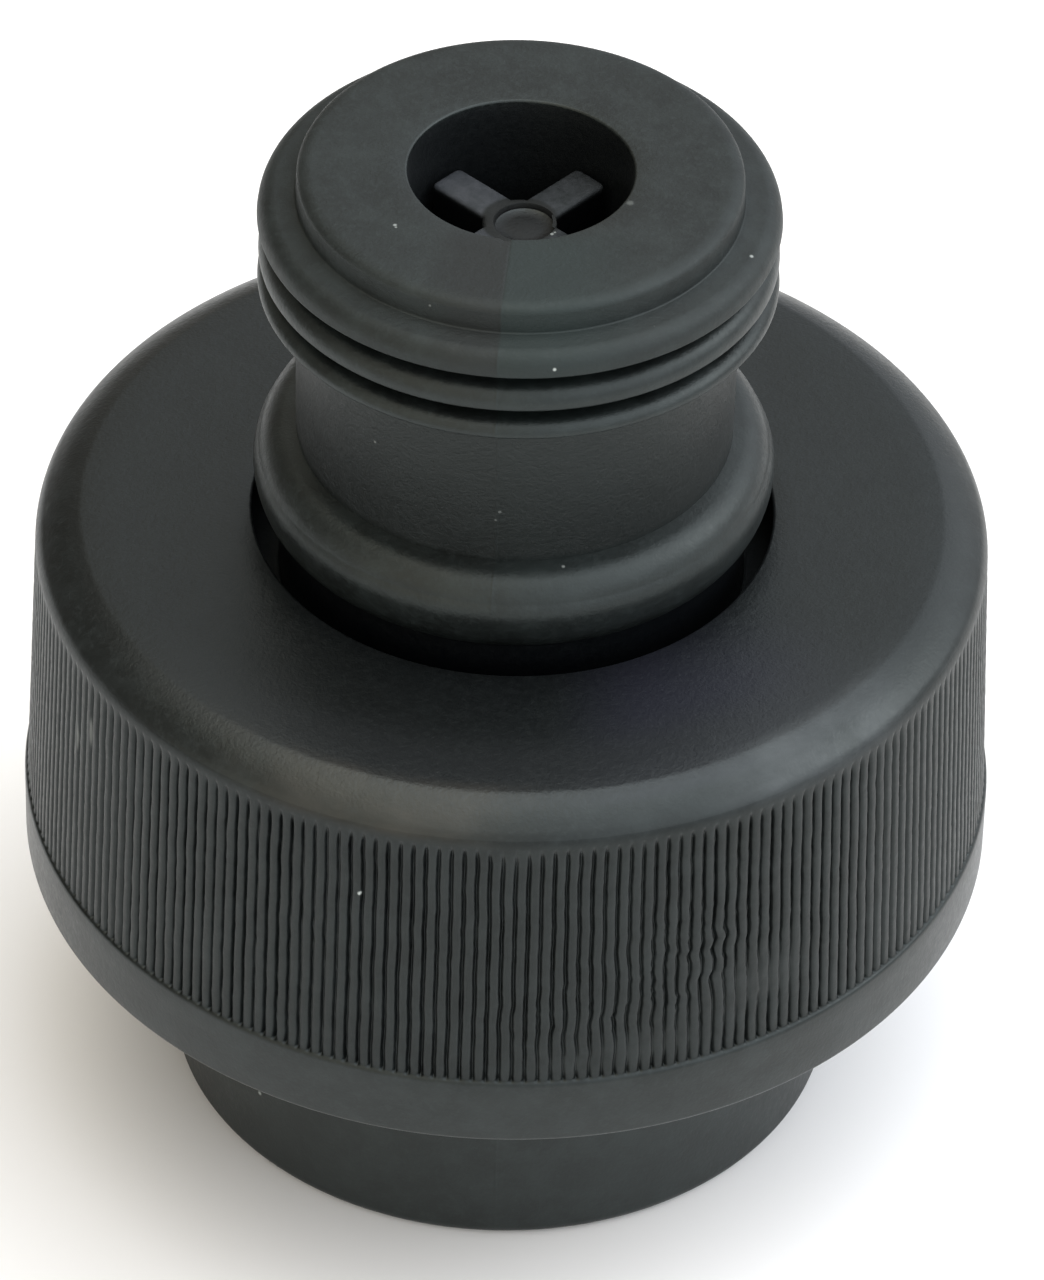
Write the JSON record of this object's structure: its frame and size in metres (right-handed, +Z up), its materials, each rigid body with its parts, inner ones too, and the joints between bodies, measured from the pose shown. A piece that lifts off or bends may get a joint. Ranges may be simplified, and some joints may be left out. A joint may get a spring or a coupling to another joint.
{
  "type": "screw-on quick-connect valve cap",
  "caption": "Ribbed screw collar turning on a push-in nipple with a spring-loaded shut-off valve and a lower insert tube, for closing and emptying a fluid container.",
  "frame": {"origin": "centre of the lower tube's bottom rim", "axes": "+Z up along the common axis towards the nipple's mouth, -Y the front, +X to the right seen from the front"},
  "size_m": [0.061, 0.061, 0.0685],
  "materials": {
    "collar_plastic": "charcoal polypropylene, satin top and fine vertical ribs",
    "nipple_plastic": "charcoal polypropylene, matte with faint scuffs and a mould parting line",
    "tube_plastic": "charcoal polypropylene, matte, fine grain",
    "valve_plastic": "dark grey acetal, satin",
    "seal_rubber": "black elastomer, matte",
    "spring_steel": "drawn stainless wire"
  },
  "bodies": {
    "nipple": {"nipple_body": "nipple_plastic", "insert_tube": "tube_plastic", "neck_gasket": "seal_rubber", "tube_o_ring": "seal_rubber", "return_spring": "spring_steel", "spring_cage": "valve_plastic"},
    "collar": {"screw_collar": "collar_plastic"},
    "plunger": {"valve_plunger": "valve_plastic", "poppet_seal": "seal_rubber"}
  },
  "joints": [
    {"name": "collar_turn", "type": "hinge", "parent": "nipple", "child": "collar", "pos_m": [0, 0, 0.0412], "axis": [0, 0, 1], "continuous": true},
    {"name": "valve_push", "type": "slide", "parent": "nipple", "child": "plunger", "axis": [0, 0, -1], "range_m": [0, 0.005], "stiffness_N_per_m": 900, "springref_m": -0.008, "deforming": ["return_spring"]}
  ]
}
